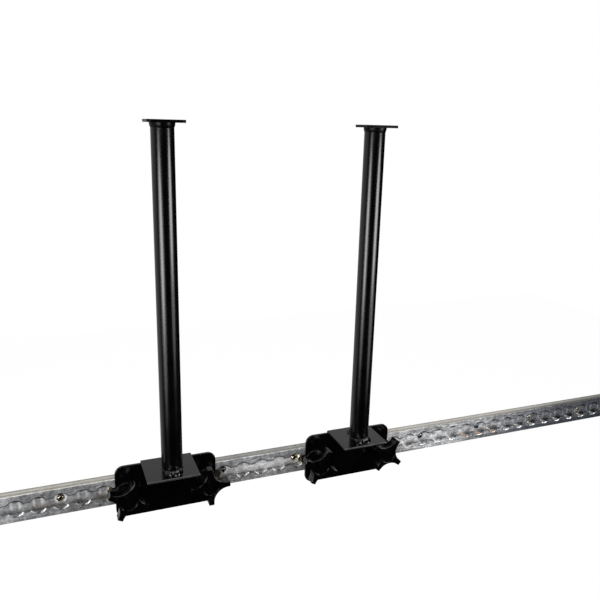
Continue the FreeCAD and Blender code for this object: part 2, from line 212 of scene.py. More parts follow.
def make_world():
    """White where it is seen; in mirrored rays a backdrop behind the track, dim in front of it."""
    world = bpy.data.worlds.new("studio")
    world.use_nodes = True
    bpy.context.scene.world = world
    graph = Graph(world.node_tree)
    world.node_tree.nodes.clear()
    camera_ray, mirrored = ray_kinds(graph)
    gloss = mirrored_light(graph, graph.node("TexCoord").outputs["Generated"])
    level = graph.between(mirrored, ROOM_LIGHT, gloss)
    level = graph.math("MAXIMUM", level, camera_ray)
    background = graph.node("Background", Strength=level)
    background.inputs[0].default_value = (1, 1, 1, 1)
    output = graph.node("OutputWorld")
    graph.feed(output.inputs[0], background.outputs[0])


def make_floor():
    """A pale floor whose colour is white to the eye and which still takes a faint shadow."""
    mesh = bpy.data.meshes.new("floor")
    half = FLOOR_SIZE / 2
    corners = [(-half, -half), (half, -half), (half, half), (-half, half)]
    mesh.from_pydata([(x, y, FLOOR_HEIGHT) for x, y in corners], [], [(0, 1, 2, 3)])
    floor = bpy.data.objects.new("floor", mesh)
    bpy.context.scene.collection.objects.link(floor)

    material = bpy.data.materials.new("floor_paper")
    material.use_nodes = True
    material.node_tree.nodes.clear()
    graph = Graph(material.node_tree)
    camera_ray, mirrored = ray_kinds(graph)
    gloss = mirrored_light(graph, graph.vector("NORMALIZE", graph.place()[0]))
    plain = graph.node("BsdfDiffuse", Color=grey(FLOOR_ALBEDO)).outputs[0]
    shadowed = graph.node("BsdfDiffuse", Color=grey(FLOOR_SHADOW_ALBEDO)).outputs[0]
    glow = graph.node("Emission", Strength=FLOOR_GLOW).outputs[0]
    to_eye = graph.node("AddShader", i0=shadowed, i1=glow).outputs[0]
    to_gloss = graph.node("Emission", Strength=gloss).outputs[0]
    either = graph.node("MixShader", i0=mirrored, i1=plain, i2=to_gloss).outputs[0]
    result = graph.node("MixShader", i0=camera_ray, i1=either, i2=to_eye).outputs[0]
    output = graph.node("OutputMaterial")
    graph.feed(output.inputs[0], result)
    mesh.materials.append(material)


# Softboxes: name, centre, aim, width, height and radiance. Each front one has a brighter middle.
SOFTBOXES = (
    ("left_softbox", (-1.19, -0.82, 0.02), (-0.25, -0.03, 0.2), 1.10, 0.84, 1.9),
    ("left_softbox_middle", (-1.17, -0.81, 0.10), (-0.25, -0.03, 0.2), 0.56, 0.52, 8.4),
    ("right_softbox", (0.69, -0.81, 0.07), (-0.25, -0.03, 0.2), 0.90, 0.70, 1.9),
    ("right_softbox_middle", (0.67, -0.80, 0.21), (-0.25, -0.03, 0.2), 0.54, 0.42, 8.2),
    ("top_softbox", (0.1, -0.2, 1.5), (0.1, 0.0, 0.0), 1.8, 0.9, 3.2),
    ("key_softbox", (-0.95, -1.40, 0.95), (-0.1, 0.0, 0.1), 0.6, 0.45, 9.5),
)


def make_lights():
    for name, centre, aim, width, height, radiance in SOFTBOXES:
        data = bpy.data.lights.new(name, "AREA")
        data.shape = "ELLIPSE"
        data.size = width
        data.size_y = height
        data.energy = radiance * math.pi * (math.pi / 4 * width * height)
        lamp = bpy.data.objects.new(name, data)
        bpy.context.scene.collection.objects.link(lamp)
        lamp.location = centre
        direction = Vector(aim) - Vector(centre)
        lamp.rotation_euler = direction.to_track_quat("-Z", "Y").to_euler()


# Materials


def new_material(name, **values):
    """A Principled material with plain numbers set on its own sockets."""
    material = bpy.data.materials.new(name)
    material.use_nodes = True
    shader = material.node_tree.nodes["Principled BSDF"]
    for key, value in values.items():
        shader.inputs[key.replace("_", " ")].default_value = value
    return material, Graph(material.node_tree), shader


HOLE_PITCH = INCH
HOLE_COUNT = 48
FIRST_HOLE_X = -(HOLE_COUNT - 1) / 2 * HOLE_PITCH
SCREW_STEP = 4
TRACK_LOW, TRACK_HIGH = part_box("rail")
TRACK_FACE_Y = TRACK_LOW.y
CHANNEL_FLOOR_Y = -3.4 * MM
LIP_BACK_Y = TRACK_FACE_Y + 2.6 * MM
HOLE_RADIUS = 9.9 * MM
HALF_SLOT = 5.2 * MM

# Places along the track: rubbed between the posts, a darker top face near the left one, rusted
# right of the other, dull at the left end, and painted shade deepening towards the right
RUBBED_X = -0.06
RUBBED_REACH = 0.22
MIDDLE_ZONE_X = -0.13
RUST_X = 0.216
LEFT_DULL_FROM = -0.40
LEFT_DULL_TO = -0.20
FAR_FROM = 0.05
FAR_TO = 0.15
RIGHT_SHADE_FROM = 0.10
RIGHT_SHADE_TO = 0.36

# Scratch families on the track: turn in its front face, and how drawn out and how fine they are
SCRATCHES = ((0.0, 14, 700), (0.5, 30, 620), (-0.35, 24, 660), (1.2, 45, 560))

# What dirt, weather and use leave on the metal, and the painted shade and painted light laid on it
# Painted shade: laid under the upper lip, on the holes' upper rims and in the screws' recesses
PAINTED_SHADE = grey(0.03)
LOWER_RIM_DARK = grey(0.07)
# Painted light: near white for highlights on the holes' lower flanks and for light on the sills
PAINTED_LIGHT = grey(0.98)
# Painted highlight for the strokes and rings in the holes' floor
HIGHLIGHT_METAL = grey(0.95)
YELLOWED = (0.72, 0.68, 0.59, 1)
YELLOWED_DARK = (0.38, 0.36, 0.315, 1)
# Painted shade for the front faces towards the right
BLUISH_SHADE = (0.035, 0.042, 0.062, 1)
BLUISH_EDGE_SHADE = (0.05, 0.06, 0.08, 1)
BLUISH_END_SHADE = (0.012, 0.016, 0.024, 1)
GRIME = (0.34, 0.28, 0.21, 1)
SILL_GRIME = (0.16, 0.11, 0.07, 1)
RUST = (0.50, 0.22, 0.05, 1)


class TrackPlace:
    """Where a point lies on the track, in metres or as shares from 0 to 1."""

    def __init__(self, graph):
        self.point, x, y, z = graph.place()
        self.x, self.y, self.z = x, y, z
        self.top = graph.rise(z, TRACK_HIGH.z - 1 * MM, TRACK_HIGH.z - 0.1 * MM)
        self.rubbed = graph.near(x, RUBBED_X, 0.0, RUBBED_REACH)
        self.far = graph.rise(x, FAR_FROM, FAR_TO)

        # Behind the lips, and of that only the inside of the channel
        self.behind = graph.rise(y, LIP_BACK_Y - 1 * MM, LIP_BACK_Y + 1 * MM)
        above_floor = graph.rise(y, CHANNEL_FLOOR_Y + 1.8 * MM, CHANNEL_FLOOR_Y + 1.2 * MM)
        within_walls = graph.rise(graph.math("ABSOLUTE", z), 11.5 * MM, 10.8 * MM)
        self.deep = graph.times(self.behind, above_floor, within_walls)

        # Holes counted along the track, and how far the point is from the nearest one's axis
        first_edge = FIRST_HOLE_X - HOLE_PITCH / 2
        self.holes = graph.math("DIVIDE", graph.math("SUBTRACT", x, first_edge), HOLE_PITCH)
        within_pitch = graph.math("SUBTRACT", graph.math("FRACT", self.holes), 0.5)
        self.across = graph.math("MULTIPLY", within_pitch, HOLE_PITCH)
        self.aside = graph.math("ABSOLUTE", self.across)
        self.out = graph.math("SQRT", graph.squares(self.across, z))

        # Straight above or below the hole's axis flank is 0, and level with it 1
        self.flank = graph.math("DIVIDE", self.aside, self.out)
        self.bottom = graph.rise(self.flank, 0.6, 0.3)

        # How far the point lies outside the outline of holes and slot in the front face
        self.past_hole = graph.math("SUBTRACT", self.out, HOLE_RADIUS)
        past_slot = graph.math("SUBTRACT", graph.math("ABSOLUTE", z), HALF_SLOT)
        self.past_edge = graph.math("MINIMUM", self.past_hole, past_slot)


def bare_metal(graph, point):
    """The extrusion's colour, and the patterns in it that also shape its gloss and its bumps."""
    drawn = graph.speckle(graph.stretched(point, (6, 1100, 1100)), 1.0, 2.0)
    cloud = graph.speckle(point, 38, 3.0, 0.55)
    mottled = graph.speckle(point, 210, 2.0, 0.6)
    pitted = graph.speckle(graph.stretched(point, (0.7, 1, 1)), 620, 3.0, 0.7)
    scratches = 0.0
    for number, (turn, length, width) in enumerate(SCRATCHES):
        shift = (number * 3.1, 0, number * 1.7)
        lines = graph.stretched(point, (length, 1, width), (0, turn, 0), shift)
        found = graph.rise(graph.speckle(lines, 1.0, 1.0, 0.4), 0.62, 0.72)
        scratches = graph.math("MAXIMUM", scratches, found)

    tone = graph.rise(pitted, 0.3, 0.7, -0.16, 0.16)
    tone = graph.math("ADD", tone, graph.rise(cloud, 0.3, 0.7, 0.5, 0.7))
    tone = graph.math("ADD", tone, graph.rise(drawn, 0.3, 0.7, -0.06, 0.06))
    tone = graph.math("ADD", tone, graph.rise(mottled, 0.35, 0.65, -0.18, 0.18))
    tone = graph.math("ADD", tone, graph.math("MULTIPLY", scratches, 0.3))
    base = graph.mix(tone, grey(0.02, -0.05), (0.90, 0.91, 0.93, 1))
    return base, drawn, cloud, pitted, scratches


def worn_floor(graph, at, base):
    """The slot's floor: rubbed bright between the posts, dull at the left, with painted shadow
    under the lip.
    """
    base = graph.over(base, grey(1.0), at.rubbed, at.deep, 0.75)
    left_end = graph.rise(at.x, LEFT_DULL_TO, LEFT_DULL_FROM)
    base = graph.over(base, grey(0.08), left_end, at.deep, 0.42)
    # Painted shadow: the channel floor darkens just under the upper lip
    under_lip_shadow = graph.rise(at.z, 2.2 * MM, 4.6 * MM)
    return graph.over(base, PAINTED_SHADE, under_lip_shadow, at.deep, 0.8)


def weathered_and_shaded_faces(graph, at, base):
    """The top face has yellowed, with a painted highlight at its front edge near the middle, and
    the other faces carry a bluish painted shade past the right post.
    """
    # The top face is darker round the middle zone. There its front edge keeps the bare metal's
    # lighter colour as a painted highlight
    middle_zone = graph.near(at.x, MIDDLE_ZONE_X, 0.04, 0.20)
    yellowed = graph.mix(middle_zone, YELLOWED, YELLOWED_DARK)
    edge_highlight = graph.times(graph.rise(at.y, -10.8 * MM, -11.8 * MM), middle_zone)
    base = graph.over(base, yellowed, at.top, graph.rise(edge_highlight, 0.0, 1.0, 0.7, 0.1))

    # The extruder's die has left a darker line along the middle and another along the back
    middle_line = graph.near(at.y, -9.0 * MM, 0.8 * MM, 1.8 * MM)
    back_line = graph.rise(at.y, -3.4 * MM, -2.2 * MM)
    die_lines = graph.math("MAXIMUM", middle_line, back_line)
    base = graph.over(base, grey(0.12), die_lines, at.top, 0.45)

    # Past the right post the top face darkens as a whole, and its front half sooner
    base = graph.over(base, grey(0.12), graph.rise(at.x, 0.26, 0.46), at.top, 0.6)
    front_half = graph.rise(at.y, -6.5 * MM, -8.5 * MM)
    base = graph.over(base, grey(0.06), graph.rise(at.x, 0.18, 0.40), front_half, at.top, 0.55)

    # Painted shade: the front faces darken and turn bluish towards the right, most at their lower
    # edge and right end
    not_top = graph.without(at.top)
    base = graph.over(base, BLUISH_SHADE, graph.rise(at.x, RIGHT_SHADE_FROM, RIGHT_SHADE_TO), not_top, 0.8)
    lower_edge_shade = graph.rise(at.z, -9.5 * MM, -12 * MM)
    base = graph.over(base, BLUISH_EDGE_SHADE, lower_edge_shade, graph.rise(at.x, 0.14, 0.26), 0.6)
    right_end_shade = graph.rise(at.x, RIGHT_SHADE_TO - 0.1, RIGHT_SHADE_TO + 0.1)
    return graph.over(base, BLUISH_END_SHADE, right_end_shade, not_top, 0.5)


def rims_shade_and_highlight(graph, at, base):
    """Painted shade at the holes' upper rims, and lower rims darker except where painted bright.

    Feet polish the two lower flanks of each hole smoother, and their colour is raised to near
    white as a painted highlight. Past the right post only its bottom is painted bright.
    """
    # Painted shade: the upper rims of the holes and slot are laid dark
    rim = graph.times(graph.rise(at.past_edge, 1.9 * MM, 1.1 * MM), graph.without(at.behind))
    upper = graph.rise(at.z, -1 * MM, 2 * MM)
    shade_share = graph.math("MAXIMUM", at.bottom, graph.rise(at.far, 0.0, 1.0, 1.0, 0.25))
    base = graph.over(base, PAINTED_SHADE, rim, upper, shade_share, 0.85)

    # Painted highlight: the lower flanks are laid near white; they are also smoother from wear
    flanks = graph.times(graph.rise(at.flank, 0.15, 0.45), graph.rise(at.flank, 0.88, 0.76))
    flanks = graph.times(flanks, graph.rise(at.across, -2 * MM, 2 * MM, 0.55, 1.0))
    highlit_part = graph.between(at.far, flanks, at.bottom)
    lower = graph.times(rim, graph.without(upper))
    base = graph.over(base, LOWER_RIM_DARK, lower, graph.without(highlit_part), 0.8)
    polished_and_highlit = graph.times(lower, highlit_part)
    return graph.over(base, PAINTED_LIGHT, polished_and_highlit, 0.8), polished_and_highlit


def hole_highlights(graph, at, base):
    """Painted highlights in the floor of the holes."""
    # Painted highlights: two bright upright strokes in each hole
    stroke_highlight = graph.near(at.aside, 4.6 * MM, 0.4 * MM, 2.4 * MM)
    well_inside = graph.rise(at.past_hole, -1 * MM, -3 * MM)
    fading = graph.rise(at.far, 0.0, 1.0, 1.0, 0.3)
    base = graph.over(base, HIGHLIGHT_METAL, stroke_highlight, well_inside, at.deep, fading, 0.55)

    # Painted highlights on the flanks of a ring round the screw heads on the left
    ring_highlight = graph.near(at.out, 6.3 * MM, 0.6 * MM, 1.6 * MM)
    by_screw = graph.math("FRACT", graph.math("DIVIDE", at.holes, SCREW_STEP))
    by_screw = graph.rise(by_screw, 1 / SCREW_STEP + 0.001, 1 / SCREW_STEP - 0.001)
    on_left = graph.rise(at.x, 0.0, -0.08)
    sides = graph.rise(at.flank, 0.2, 0.8)
    return graph.over(base, HIGHLIGHT_METAL, ring_highlight, by_screw, on_left, sides, at.deep, 0.75)


def channel_grime_and_lit_sills(graph, at, base):
    """Brown grime behind the lower lip, and sills under the holes that are brown, and painted
    light past the right post.
    """
    low = graph.rise(at.z, -1 * MM, -8 * MM)
    stain = graph.rise(graph.speckle(at.point, 95, 3.0), 0.46, 0.62)
    base = graph.over(base, GRIME, at.deep, low, stain, graph.rise(at.far, 0.0, 1.0, 0.5, 0.1))

    # Past the right post the sill is painted light, as light falling through the holes onto it,
    # and brown elsewhere
    sill = graph.rise(at.z, -9.0 * MM, -9.9 * MM)
    under_hole = graph.rise(at.aside, 8 * MM, 4 * MM)
    sill_tone = graph.mix(at.far, SILL_GRIME, PAINTED_LIGHT)
    by_rubbing = graph.rise(at.rubbed, 0.0, 0.6, 0.15, 0.5)
    share = graph.math("ADD", by_rubbing, graph.rise(at.far, 0.0, 1.0, 0.0, 0.7))
    share = graph.math("MINIMUM", share, 0.85)
    return graph.over(base, sill_tone, sill, under_hole, at.deep, share)


def rusted_rims(graph, at, base):
    """Rust on the lower rims of a few holes right of the right post."""
    lowest = graph.rise(at.z, -6 * MM, -8 * MM)
    rim = graph.rise(at.past_edge, 1.2 * MM, 0.4 * MM)
    patches = graph.rise(graph.speckle(at.point, 150, 2.0), 0.30, 0.42)
    outside = graph.rise(at.behind, 0.0, 1.0, 1.0, 0.3)
    in_front = graph.rise(at.y, CHANNEL_FLOOR_Y + 1.0 * MM, CHANNEL_FLOOR_Y + 0.4 * MM)
    zone = graph.near(at.x, RUST_X, 0.032, 0.042)
    return graph.over(base, RUST, zone, at.bottom, lowest, rim, patches, outside, in_front, 0.9)


def worn_aluminium():
    """Extruded aluminium, scuffed by use and grimy in its holes, with painted shade towards one
    end and painted shade and highlights round its holes.
    """
    material, graph, shader = new_material("worn_aluminium")
    at = TrackPlace(graph)
    base, drawn, cloud, pitted, scratches = bare_metal(graph, at.point)
    base = worn_floor(graph, at, base)
    base = weathered_and_shaded_faces(graph, at, base)
    base, polished_and_highlit = rims_shade_and_highlight(graph, at, base)
    base = hole_highlights(graph, at, base)
    base = channel_grime_and_lit_sills(graph, at, base)
    base = rusted_rims(graph, at, base)
    graph.feed(shader.inputs["Base Color"], base)
    graph.feed(shader.inputs["Metallic"], graph.rise(at.behind, 0.0, 1.0, 0.8, 0.35))

    rough = graph.rise(cloud, 0.3, 0.7, 0.36, 0.48)
    for smoother, drop in ((scratches, 0.1), (polished_and_highlit, 0.12), (at.behind, 0.12)):
        rough = graph.math("SUBTRACT", rough, graph.math("MULTIPLY", smoother, drop))
    graph.feed(shader.inputs["Roughness"], rough)

    normal = graph.bump(drawn, 0.04 * MM)
    normal = graph.bump(pitted, 0.1 * MM, normal)
    normal = graph.bump(scratches, 0.1 * MM, normal)
    graph.feed(shader.inputs["Normal"], normal)
    return material


def black_powder_coat(name, roughness, specular):
    """Semi-gloss black powder coat with a fine orange-peel surface."""
    material, graph, shader = new_material(name, Specular_IOR_Level=specular)
    point, _, y, z = graph.place()
    cloud = graph.speckle(point, 30, 3.0)
    peel = graph.speckle(point, 900, 2.0)
    base = graph.mix(graph.rise(cloud, 0.3, 0.7), grey(0.0004, -0.05), grey(0.001, -0.05))

    # Painted light: the upper part of the shelf's front face is laid lighter, in patches
    shelf_low, shelf_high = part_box("left_shelf_plate")
    thick = shelf_high.z - shelf_low.z
    edge = graph.rise(y, shelf_low.y + 1.2 * MM, shelf_low.y + 0.4 * MM)
    upper = graph.rise(z, shelf_low.z, shelf_low.z + 0.8 * thick)
    patches = graph.rise(graph.speckle(point, 120, 2.0), 0.3, 0.6, 0.4, 1.0)
    base = graph.over(base, grey(0.045), edge, upper, patches)
    graph.feed(shader.inputs["Base Color"], base)
    rough = graph.rise(cloud, 0.3, 0.7, roughness - 0.02, roughness + 0.02)
    graph.feed(shader.inputs["Roughness"], rough)
    graph.feed(shader.inputs["Normal"], graph.bump(peel, 0.005 * MM))
    return material


def black_knob():
    """Moulded plastic with a fine grain: matt hollows, arms and front rubbed glossy by hands."""
    material, graph, shader = new_material("black_knob")
    point, x, y, z = graph.place()
    scuff = graph.rise(graph.speckle(point, 160, 3.0, 0.6), 0.5, 0.72)
    grain = graph.speckle(point, 2200, 2.0)
    front = graph.rise(z, KNOB_FRONT - 1.6 * MM, KNOB_FRONT - 0.9 * MM)
    arms = graph.rise(graph.squares(x, y), (14.5 * MM) ** 2, (20 * MM) ** 2)
    rubbed = graph.math("MAXIMUM", front, arms)
    graph.feed(shader.inputs["Specular IOR Level"], graph.rise(rubbed, 0.0, 1.0, 0.06, 0.42))
    rough = graph.rise(rubbed, 0.0, 1.0, 0.24, 0.13)
    rough = graph.math("ADD", rough, graph.math("MULTIPLY", scuff, 0.03))
    graph.feed(shader.inputs["Base Color"], graph.mix(scuff, grey(0.0008), grey(0.003)))
    graph.feed(shader.inputs["Roughness"], rough)
    graph.feed(shader.inputs["Normal"], graph.bump(grain, 0.004 * MM))
    return material


def plated_metal(name, dark, light, roughness, groove_shade=None):
    """Plated or turned metal whose colour and gloss drift over the surface.

    A screw's head also has painted shade in its recess, and a share of it in its ring-shaped
    groove.
    """
    material, graph, shader = new_material(name, Metallic=1.0)
    point, x, y, z = graph.place()
    drift = graph.rise(graph.speckle(point, 240, 3.0), 0.32, 0.68)
    fine = graph.speckle(graph.stretched(point, (1, 1, 6)), 1500, 2.0)
    base = graph.mix(drift, dark, light)
    if groove_shade is not None:
        # Painted shade in the cross recess and in the ring-shaped groove of the head
        squares = graph.squares(x, y)
        inside = graph.rise(squares, (SCREW_RECESS + 0.2 * MM) ** 2, SCREW_RECESS**2)
        below = graph.rise(z, SCREW_HEAD_HEIGHT - 0.2 * MM, SCREW_HEAD_HEIGHT - 0.3 * MM)
        base = graph.over(base, PAINTED_SHADE, inside, below)
        inner, outer = 0.68 * SCREW_HEAD_RADIUS, 0.97 * SCREW_HEAD_RADIUS
        past_inner = graph.rise(squares, inner**2, (inner + 0.3 * MM) ** 2)
        before_outer = graph.rise(squares, outer**2, (outer - 0.3 * MM) ** 2)
        on_head = graph.rise(z, -0.2 * MM, 0.0)
        base = graph.over(base, PAINTED_SHADE, past_inner, before_outer, on_head, groove_shade)
    graph.feed(shader.inputs["Base Color"], base)
    rough = graph.rise(drift, 0.0, 1.0, roughness + 0.1, roughness)
    graph.feed(shader.inputs["Roughness"], rough)
    graph.feed(shader.inputs["Normal"], graph.bump(fine, 0.02 * MM))
    return material


# Mesh tools


def new_piece(name, mesh, material, body, nodes=(), matrix=None):
    """An object in its place for a finished mesh, riding on a body and standing for CAD nodes."""
    piece = bpy.data.objects.new(name, mesh)
    bpy.context.scene.collection.objects.link(piece)
    if matrix is not None:
        piece.matrix_world = matrix
    if not mesh.materials:
        mesh.materials.append(material)
    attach(piece, body)
    if nodes:
        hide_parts(*nodes)
    return piece


SHARP_ANGLE = math.radians(35)


def smooth(mesh, angle=SHARP_ANGLE):
    """Shade smooth, with a sharp edge wherever the faces turn by more than an angle."""
    mesh.polygons.foreach_set("use_smooth", [True] * len(mesh.polygons))
    work = bmesh.new()
    work.from_mesh(mesh)
    for edge in work.edges:
        edge.smooth = len(edge.link_faces) == 2 and edge.calc_face_angle(0.0) < angle
    work.to_mesh(mesh)
    work.free()


def mesh_of(name, work, angle=SHARP_ANGLE):
    """A mesh from a finished bmesh, with outward faces."""
    bmesh.ops.recalc_face_normals(work, faces=work.faces)
    mesh = bpy.data.meshes.new(name)
    work.to_mesh(mesh)
    work.free()
    smooth(mesh, angle)
    return mesh


def add_loops(work, loops, closed=False):
    """Faces between rows of as many points each, with flat ends, or joined end to end."""
    rows = [[work.verts.new(point) for point in loop] for loop in loops]
    pairs = list(zip(rows, rows[1:]))
    if closed:
        pairs.append((rows[-1], rows[0]))
    count = len(rows[0])
    for low, high in pairs:
        for i in range(count):
            j = (i + 1) % count
            work.faces.new((low[i], low[j], high[j], high[i]))
    if not closed:
        work.faces.new(rows[0])
        work.faces.new(rows[-1])


def ring(radius, height, count):
    """Points round the Z axis at a height."""
    angles = [TURN * i / count for i in range(count)]
    return [(radius * math.cos(a), radius * math.sin(a), height) for a in angles]


def cut_away(piece_mesh, tool_mesh):
    """The first mesh with the second one's volume cut out."""
    pieces = []
    for name, mesh in (("cut_blank", piece_mesh), ("cut_tool", tool_mesh)):
        pieces.append(bpy.data.objects.new(name, mesh))
        bpy.context.scene.collection.objects.link(pieces[-1])
    blank, tool = pieces
    cut = blank.modifiers.new("cut", "BOOLEAN")
    cut.object = tool
    cut.operation = "DIFFERENCE"
    cut.solver = "EXACT"
    cut.use_self = True
    bpy.context.view_layer.update()
    graph = bpy.context.evaluated_depsgraph_get()
    finished = bpy.data.meshes.new_from_object(blank.evaluated_get(graph))
    for piece in pieces:
        bpy.data.objects.remove(piece)
    return finished


# Soft edges on the cut and pressed metal


def sharp_edges(work):
    limit = math.radians(30)
    joining = [edge for edge in work.edges if len(edge.link_faces) == 2]
    return [edge for edge in joining if edge.calc_face_angle(0.0) > limit]


def round_edges(work, edges, radius, segments):
    settings = {"profile": 0.5, "affect": "EDGES", "clamp_overlap": True}
    bmesh.ops.bevel(work, geom=edges, offset=radius, segments=segments, **settings)


def softened(node, name, radius, segments, material, slot, body, wide=None, tool=None):
    """A copy of a CAD node with its edges rounded, which stands for it.

    Where wide is given, the edges that its test picks are rounded by its radius, before the
    others. Where a tool is given, it's cut out of the result.
    """
    work = bmesh.new()
    work.from_mesh(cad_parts[node].data)
    bmesh.ops.remove_doubles(work, verts=work.verts, dist=1e-6)
    flat = math.radians(1)
    bmesh.ops.dissolve_limit(work, angle_limit=flat, verts=work.verts, edges=work.edges)
    if wide:
        wide_test, wide_radius = wide
        sharp = sharp_edges(work)
        picked = [edge for edge in sharp if all(wide_test(v.co) for v in edge.verts)]
        round_edges(work, picked, wide_radius, 4)
    round_edges(work, sharp_edges(work), radius, segments)
    mesh = mesh_of(name, work, math.radians(50))
    if tool:
        mesh = cut_away(mesh, tool)
        mesh.name = name
        smooth(mesh, math.radians(50))
    piece = new_piece(name, mesh, material, body, [node])
    piece.modifiers.new("flat_faces", "WEIGHTED_NORMAL").keep_sharp = True


# Dishes that the hole cutter left in the track's channel floor

CUTTER_BRIM = 8.2 * MM
CUTTER_BED = 6.3 * MM
CUTTER_SINK = 0.8 * MM


def make_dish_tool():
    """Shallow cones that stand for the cutter, one in each hole without a screw."""
    work = bmesh.new()
    slope = (CUTTER_BRIM - CUTTER_BED) / CUTTER_SINK
    above = 0.4 * MM
    for i in range(HOLE_COUNT):
        if i % SCREW_STEP == 0:
            continue
        place = Matrix.Translation((FIRST_HOLE_X + i * HOLE_PITCH, CHANNEL_FLOOR_Y, 0)) @ OUTWARD
        bed = [place @ Vector(point) for point in ring(CUTTER_BED, -CUTTER_SINK, 48)]
        widened = CUTTER_BRIM + slope * above
        brim = [place @ Vector(point) for point in ring(widened, above, 48)]
        add_loops(work, [bed, brim])
    return mesh_of("dish_tool", work)


TRACK_ROUNDING = 0.25 * MM
SLOT_ROUNDING = 1.1 * MM


def on_slot_edge(point):
    """Whether a point lies on the outline of the slot in the track's front face."""
    return abs(point.y - TRACK_FACE_Y) < 0.01 * MM and abs(point.z) < 11 * MM


# The coat draws back from cut edges and leaves them round
PLATE_ROUNDING = {"back_plate": 0.7 * MM, "shelf_plate": 1.2 * MM, "top_plate": 0.4 * MM}


# Post tube and its weld beads


TUBE_SIDES = 128
TUBE_WALL = 2.1 * MM


def make_post(side, material):
    node = f"{side}_post_tube"
    low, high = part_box(node)
    axis = (low + high) / 2
    outer = (high.x - low.x) / 2
    length = high.z - low.z
    ease = 0.3 * MM
    work = bmesh.new()
    profile = (
        (outer - TUBE_WALL, 0),
        (outer - ease, 0),
        (outer, ease),
        (outer, length - ease),
        (outer - ease, length),
        (outer - TUBE_WALL, length),
    )
    add_loops(work, [ring(r, z, TUBE_SIDES) for r, z in profile], closed=True)
    matrix = Matrix.Translation((axis.x, axis.y, low.z))
    mesh = mesh_of(f"{side}_post", work)
    rack = f"{side}_rack"
    new_piece(f"{side}_post", mesh, material, rack, [node], matrix)


BEAD_RIPPLE = 3.0 * MM
BEAD_STEPS = 12
BEAD_UNEVEN = 0.16
RING_BEAD_COUNT = 288
RING_BEAD_SWELL = 1.6
RING_BEAD_ROOM = 0.70
PUDDLE_COUNT = 11
PUDDLE_BOW = 0.9
PUDDLE_RIM = 0.72
PUDDLE_RIM_WIDTH = 0.16


def bead_swell(along, across, seed):
    """How far a weld bead's surface swells at a distance along it, in overlapping puddles."""
    phase = (along / BEAD_RIPPLE) % 1.0
    puddle = math.sin(math.pi * phase) ** 0.5
    lumps = noise.noise(Vector((along / (4 * MM), across * 1.5, seed)))
    return 0.35 * puddle + 0.45 * lumps


def puddle_swell(share_round, across):
    """Wide puddles laid round the post like fish scales, each with a raised rim."""
    phase = (share_round * PUDDLE_COUNT + PUDDLE_BOW * (across - 0.45) ** 2) % 1.0
    rim = math.exp(-(((phase - PUDDLE_RIM) / PUDDLE_RIM_WIDTH) ** 2))
    dome = math.sin(math.pi * phase) ** 0.7
    return 0.55 * dome + 0.6 * rim


# Ring beads: reach over the plate and climb up the post, what both gain in front and behind where
# the torch had room, how far the puddles swell as a share, and the seed of their unevenness
BASE_BEAD = (0.8 * MM, 1.2 * MM), (8.5 * MM, 3.8 * MM), 0.13, 1.0
TOP_BEAD = (1.2 * MM, 5.0 * MM), (0.5 * MM, 0.6 * MM), 0.08, 5.0


def make_ring_bead(side, name, height, upwards, shape, material):
    """A fillet weld round the post, in the corner between it and a plate above or below it."""
    legs, bulge, swelling, seed = shape
    low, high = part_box(f"{side}_post_tube")
    axis = (low + high) / 2
    outer = (high.x - low.x) / 2
    loops = []
    for i in range(RING_BEAD_COUNT):
        angle = TURN * i / RING_BEAD_COUNT
        uneven = noise.noise(Vector((3 * math.cos(angle), 3 * math.sin(angle), seed)))
        room = max(0.0, (abs(math.sin(angle)) - RING_BEAD_ROOM) / (1 - RING_BEAD_ROOM)) ** 0.6
        reach = (legs[0] + bulge[0] * room) * (1 + BEAD_UNEVEN * uneven)
        climb = (legs[1] + bulge[1] * room) * (1 + BEAD_UNEVEN * uneven)
        loop = [(outer - 0.2 * MM, -0.2 * MM)]
        for step in range(BEAD_STEPS + 1):
            share = step / BEAD_STEPS
            swell = 1 + RING_BEAD_SWELL * puddle_swell(i / RING_BEAD_COUNT, share)
            swell *= swelling * min(reach, climb) * math.sin(share * math.pi)
            loop.append((outer + reach * (1 - share) + swell, climb * share + swell))
        away = 1 if upwards else -1
        loops.append([(r * math.cos(angle), r * math.sin(angle), away * z) for r, z in loop])
    work = bmesh.new()
    add_loops(work, loops, closed=True)
    mesh = mesh_of(name, work, math.radians(70))
    matrix = Matrix.Translation((axis.x, axis.y, height))
    new_piece(name, mesh, material, f"{side}_rack", matrix=matrix)


def make_shelf_bead(side, material):
    """A straight fillet weld under the shelf, where it meets the back plate."""
    name = f"{side}_shelf_weld"
    shelf_low, shelf_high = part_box(f"{side}_shelf_plate")
    plate_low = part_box(f"{side}_back_plate")[0]
    leg = 4.0 * MM
    margin = 2.5 * MM
    length = shelf_high.x - shelf_low.x - 2 * margin
    count = 150
    loops = []
    for i in range(count + 1):
        along = length * i / count
        taper = min(1.0, math.sqrt(min(along, length - along) / (3 * MM) + 0.02))
        loop = [(along, 0.1 * MM, 0.1 * MM)]
        for step in range(BEAD_STEPS + 1):
            share = step / BEAD_STEPS
            swell = 0.25 * leg * (0.25 + 0.3 * bead_swell(along, share, 7.0))
            out = swell * math.sin(share * math.pi) / math.sqrt(2)
            back = leg * (1 - share) * taper + out
            down = leg * share * taper + out
            loop.append((along, -back, -down))
        loops.append(loop)
    work = bmesh.new()
    add_loops(work, loops)
    mesh = mesh_of(name, work, math.radians(60))
    matrix = Matrix.Translation((shelf_low.x + margin, plate_low.y, shelf_low.z))
    new_piece(name, mesh, material, f"{side}_rack", matrix=matrix)


# Clamping knobs

